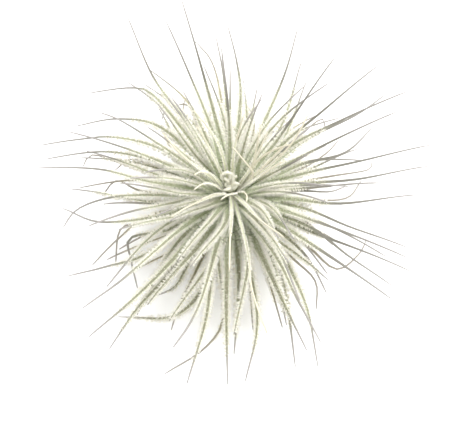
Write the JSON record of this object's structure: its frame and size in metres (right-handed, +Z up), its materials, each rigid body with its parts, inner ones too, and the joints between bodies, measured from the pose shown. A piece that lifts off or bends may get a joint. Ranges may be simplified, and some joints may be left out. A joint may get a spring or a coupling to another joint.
{
  "type": "air plant",
  "caption": "Fuzzy silver rosette of narrow, channelled, hair-fringed leaves with thread-like tips, spreading from a short woody stub; stands unpotted on a flat foot.",
  "frame": {"origin": "middle of the stem's flat foot, on the surface that the plant stands on", "axes": "+Z up through the middle of the rosette; -Y towards the viewer of the picture, +X to the right in it"},
  "size_m": [0.1666, 0.1719, 0.0742],
  "materials": {
    "old_leaf": "dry, papery, silver-beige leaf with thin pale hairs",
    "lower_leaf": "grey-green leaf with a dense fringe of long silver-white hairs and a bald grey tip",
    "upper_leaf": "pale grey-green leaf with a dense fringe of silver-white hairs and a bald grey tip",
    "young_leaf": "cream leaf with a felt of short white hairs",
    "heart_leaf": "white felted leaf, still rolled up",
    "stem": "dry, fibrous brown stub with the scars of old leaves"
  },
  "bodies": {
    "root": {"stem": "stem", "old_leaves": "old_leaf", "lower_leaves": "lower_leaf", "upper_leaves": "upper_leaf", "young_leaves": "young_leaf", "heart_leaves": "heart_leaf"}
  },
  "joints": []
}
